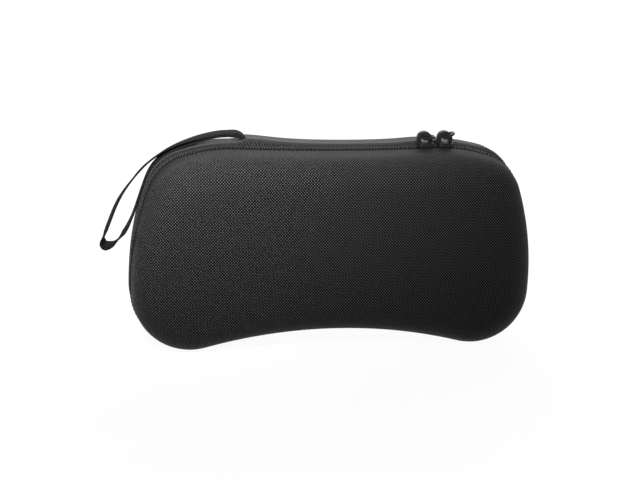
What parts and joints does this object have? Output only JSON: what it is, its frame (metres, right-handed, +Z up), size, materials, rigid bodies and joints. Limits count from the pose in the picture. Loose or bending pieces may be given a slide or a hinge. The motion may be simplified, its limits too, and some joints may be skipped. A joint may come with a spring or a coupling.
{
  "type": "portable game console case",
  "caption": "Zip-up clamshell carrying case with a moulded fabric-covered shell, a wrist strap, a net pocket and a holding band, for a handheld game console.",
  "frame": {"origin": "middle of the case's footprint, on the surface that its two lower lobes stand on", "axes": "+X across the case to its right side seen from the front, +Y from the lid to the base's back, +Z up"},
  "size_m": [0.2777, 0.072, 0.1393],
  "materials": {
    "shell_cloth": "black ballistic-weave cloth over moulded foam",
    "zip_tape": "black woven zip tape",
    "zip_coil": "black nylon coil",
    "zip_metal": "black enamelled die casting",
    "spine_cloth": "black grosgrain",
    "binding_cloth": "black folded binding tape",
    "strap_webbing": "thin black nylon webbing",
    "net_cloth": "black knitted net",
    "hem_elastic": "black ribbed elastic",
    "band_elastic": "black elastic webbing",
    "loop_pile": "black brushed loop pile",
    "hook_rows": "black moulded hooks"
  },
  "bodies": {
    "base": {"rear_shell": "shell_cloth", "rear_zip_tape": "zip_tape", "rear_zip_coil": "zip_coil", "zip_end_stops": "zip_metal", "hinge_strip": "spine_cloth", "rear_binding": "binding_cloth", "strap_anchor": "strap_webbing", "wrist_strap": "strap_webbing", "lower_holding_strap": "band_elastic", "upper_holding_strap": "band_elastic", "loop_pad": "loop_pile", "hook_pad": "hook_rows"},
    "lid": {"front_shell": "shell_cloth", "front_zip_tape": "zip_tape", "front_zip_coil": "zip_coil", "front_binding": "binding_cloth", "mesh_pocket": "net_cloth", "pocket_hem": "hem_elastic"},
    "left_slider_body": {"left_slider": "zip_metal"},
    "right_slider_body": {"right_slider": "zip_metal"},
    "left_pull_tab": {"left_pull": "zip_metal"},
    "right_pull_tab": {"right_pull": "zip_metal"}
  },
  "joints": [
    {"name": "lid_hinge", "type": "hinge", "parent": "base", "child": "lid", "pos_m": [0, 0, -0.0005], "axis": [1, 0, 0], "range_deg": [0, 170], "deforming": ["hinge_strip", "front_zip_tape", "front_zip_coil"]},
    {"name": "left_slider_run", "type": "hinge", "parent": "base", "child": "left_slider_body", "pos_m": [0, 0, 1.9289], "axis": [0, 1, 0], "range_deg": [0, 3.69]},
    {"name": "right_slider_run", "type": "hinge", "parent": "base", "child": "right_slider_body", "pos_m": [0.06847, 0, 0.03414], "axis": [0, 1, 0], "range_deg": [0, 15]},
    {"name": "left_pull_turn", "type": "hinge", "parent": "left_slider_body", "child": "left_pull_tab", "pos_m": [0.05734, 0, 0.13482], "axis": [0, 1, 0], "range_deg": [-150, 0]},
    {"name": "right_pull_turn", "type": "hinge", "parent": "right_slider_body", "child": "right_pull_tab", "pos_m": [0.07063, 0, 0.13512], "axis": [0, 1, 0], "range_deg": [-120, 0]}
  ]
}
